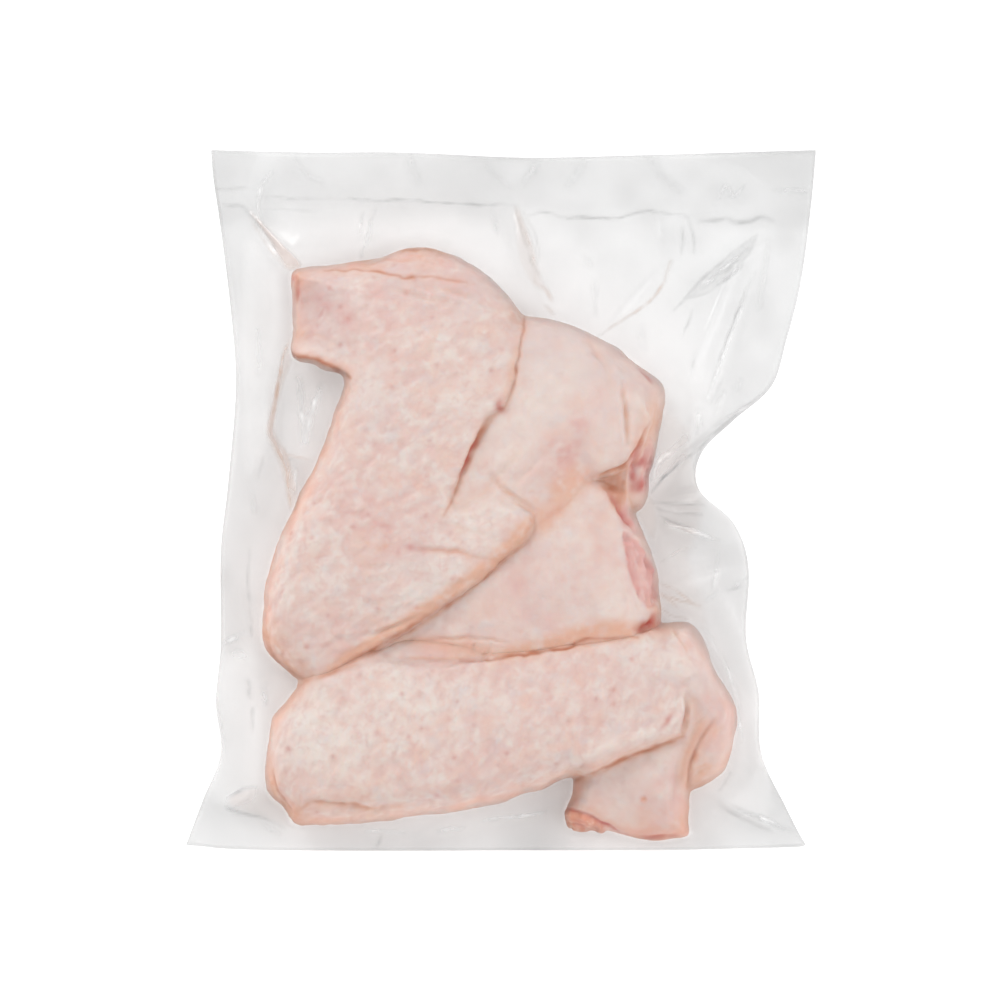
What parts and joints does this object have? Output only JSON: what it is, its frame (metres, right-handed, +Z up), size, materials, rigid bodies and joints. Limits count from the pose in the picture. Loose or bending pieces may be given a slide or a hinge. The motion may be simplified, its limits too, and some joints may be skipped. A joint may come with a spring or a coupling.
{
  "type": "vacuum-packed turkey wings",
  "caption": "Flat pouch of clear film drawn tight by vacuum round raw, skin-on turkey wings, with thin wavy margins and a heat-sealed upper edge.",
  "frame": {"origin": "on the table, under the middle of the pack's bounding box", "axes": "+Y along the pouch towards its heat-sealed edge, +X to the right with the shown side up, +Z up"},
  "size_m": [0.252, 0.2802, 0.0472],
  "materials": {
    "packed_meat": "pale raw skin seen through tight glossy film",
    "raw_skin": "raw poultry skin, pale pink to cream, pored, redder in folds and at cuts",
    "clear_film": "clear soft vacuum film, glossy, with standing folds"
  },
  "bodies": {
    "root": {"vacuum_pack": "packed_meat"}
  },
  "joints": []
}
